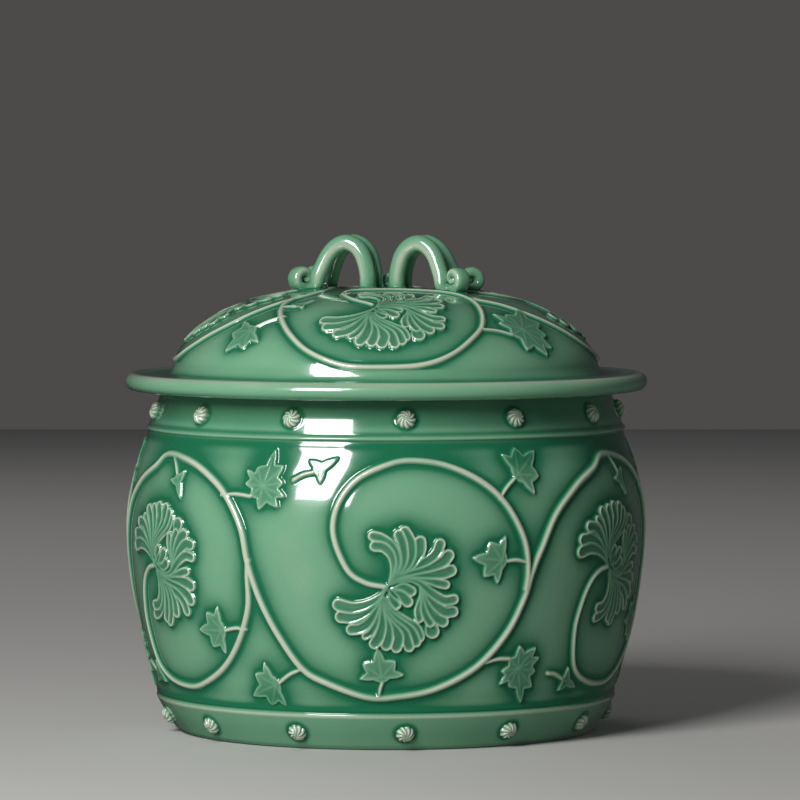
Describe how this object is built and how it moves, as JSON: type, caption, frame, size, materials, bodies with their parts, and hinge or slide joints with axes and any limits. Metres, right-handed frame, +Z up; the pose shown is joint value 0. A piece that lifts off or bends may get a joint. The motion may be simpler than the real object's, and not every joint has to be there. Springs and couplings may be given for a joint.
{
  "type": "ginger jar",
  "caption": "Round-bellied glazed porcelain storage jar with a domed, flanged lid that lifts off by arched handles.",
  "frame": {"origin": "centre of the foot ring, on the surface the jar stands on", "axes": "+Z up along the jar's axis, -Y towards the middle scroll of its front, +X to the right seen from there"},
  "size_m": [0.28, 0.28, 0.2647],
  "materials": {
    "celadon_glaze": "glossy blue-green celadon glaze, pale on crests and deeper where it pools",
    "stud_glaze": "the same glaze, thin and pale over fluted studs"
  },
  "bodies": {
    "jar": {"jar_body": "celadon_glaze", "neck_stud_01": "stud_glaze", "neck_stud_02": "stud_glaze", "neck_stud_03": "stud_glaze", "neck_stud_04": "stud_glaze", "neck_stud_05": "stud_glaze", "neck_stud_06": "stud_glaze", "neck_stud_07": "stud_glaze", "neck_stud_08": "stud_glaze", "neck_stud_09": "stud_glaze", "neck_stud_10": "stud_glaze", "neck_stud_11": "stud_glaze", "neck_stud_12": "stud_glaze", "neck_stud_13": "stud_glaze", "foot_stud_01": "stud_glaze", "foot_stud_02": "stud_glaze", "foot_stud_03": "stud_glaze", "foot_stud_04": "stud_glaze", "foot_stud_05": "stud_glaze", "foot_stud_06": "stud_glaze", "foot_stud_07": "stud_glaze", "foot_stud_08": "stud_glaze", "foot_stud_09": "stud_glaze", "foot_stud_10": "stud_glaze", "foot_stud_11": "stud_glaze", "foot_stud_12": "stud_glaze", "foot_stud_13": "stud_glaze"},
    "lid": {"lid": "celadon_glaze", "handle_left_front": "celadon_glaze", "handle_left_back": "celadon_glaze", "handle_right_front": "celadon_glaze", "handle_right_back": "celadon_glaze", "handle_centre_curl": "celadon_glaze"}
  },
  "joints": [
    {"name": "lid_lift", "type": "slide", "parent": "jar", "child": "lid", "axis": [0, 0, 1], "range_m": [0, 0.12]}
  ]
}
